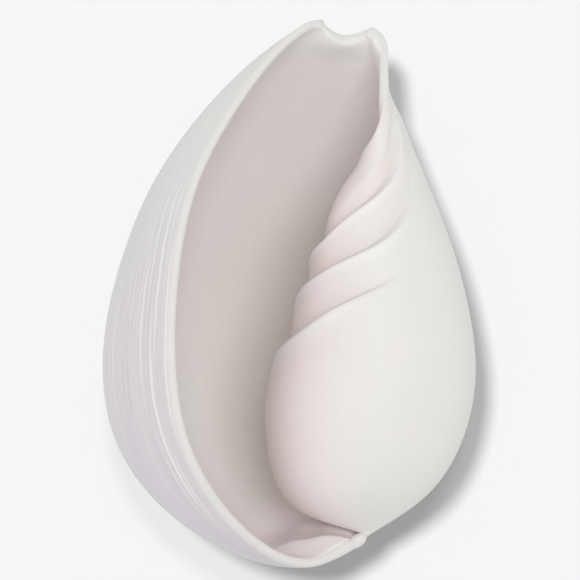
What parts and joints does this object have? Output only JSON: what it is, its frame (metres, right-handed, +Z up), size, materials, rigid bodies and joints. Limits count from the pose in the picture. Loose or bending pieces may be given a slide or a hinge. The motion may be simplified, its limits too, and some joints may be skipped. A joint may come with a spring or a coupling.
{
  "type": "conch shell",
  "caption": "Bleached, bulbous conch shell lying on its back, with a wide opening, a thin growth-lined lip and spiral folds on the body.",
  "frame": {"origin": "centre of the bounding box, at the level of the surface that the back rests on", "axes": "+Z up out of the opening, +Y towards the notched front end, +X towards the closed side of the body"},
  "size_m": [0.1368, 0.2002, 0.1067],
  "materials": {
    "shell": "matte"
  },
  "bodies": {
    "root": {"shell": "shell"}
  },
  "joints": []
}
